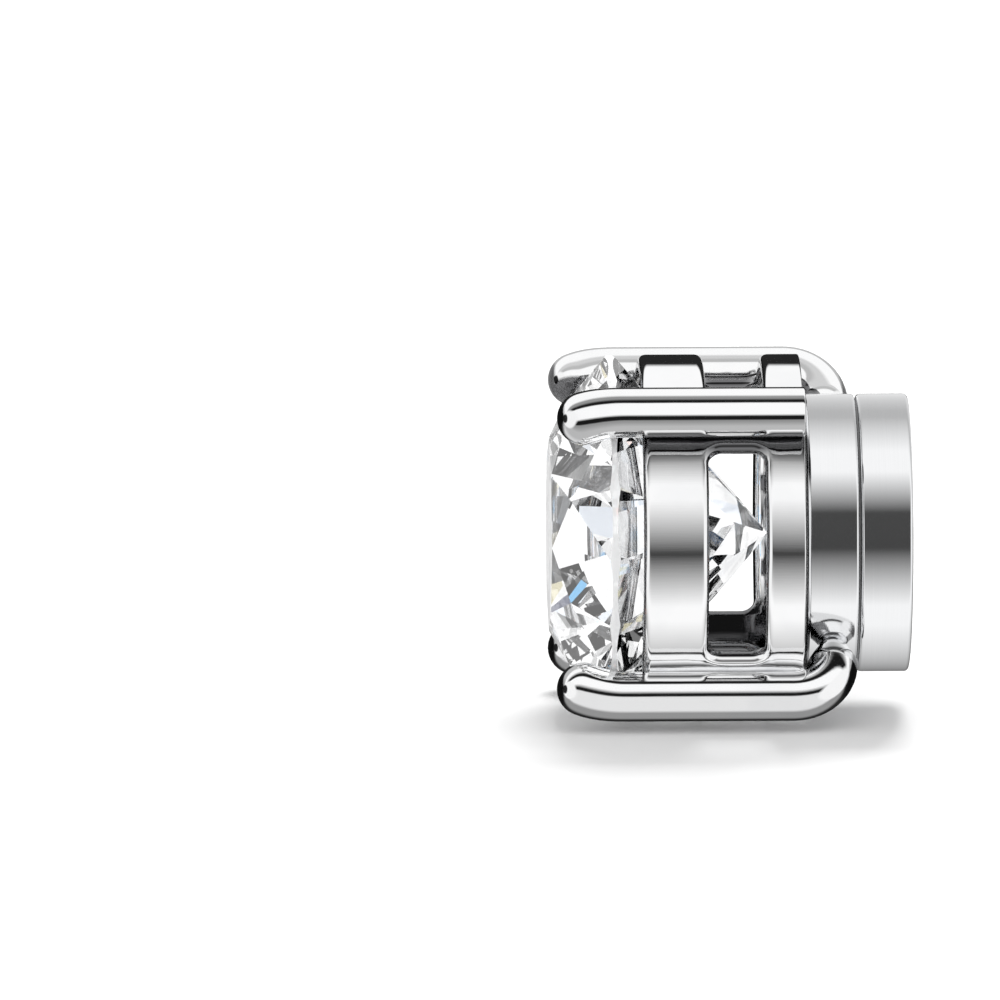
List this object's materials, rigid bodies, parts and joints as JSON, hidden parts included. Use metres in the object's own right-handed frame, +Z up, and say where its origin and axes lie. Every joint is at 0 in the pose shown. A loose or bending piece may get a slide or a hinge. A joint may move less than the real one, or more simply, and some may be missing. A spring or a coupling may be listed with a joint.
{
  "type": "magnetic stud earring",
  "caption": "Stud earring with a round brilliant-cut stone in a windowed four-prong basket, clamped through the lobe by a pair of plain magnet discs.",
  "frame": {"origin": "on the resting surface, under the middle of the earring's length", "axes": "+X along the earring's axis from the stone's table to the back disc, +Z up as it lies on its side, +Y to the far side"},
  "size_m": [0.008, 0.008, 0.008],
  "materials": {
    "stone": "polished, clear, sharp facets",
    "silver": "high polish",
    "nickel": "polished, with a fine turned grain round the rim"
  },
  "bodies": {
    "front": {"stone": "stone", "basket": "silver", "front_magnet": "nickel"},
    "back": {"back_magnet": "nickel"}
  },
  "joints": [
    {"name": "back_pull_off", "type": "slide", "parent": "front", "child": "back", "axis": [1, 0, 0], "range_m": [0, 0.006], "stiffness_N_per_m": 30, "springref_m": -0.01}
  ]
}
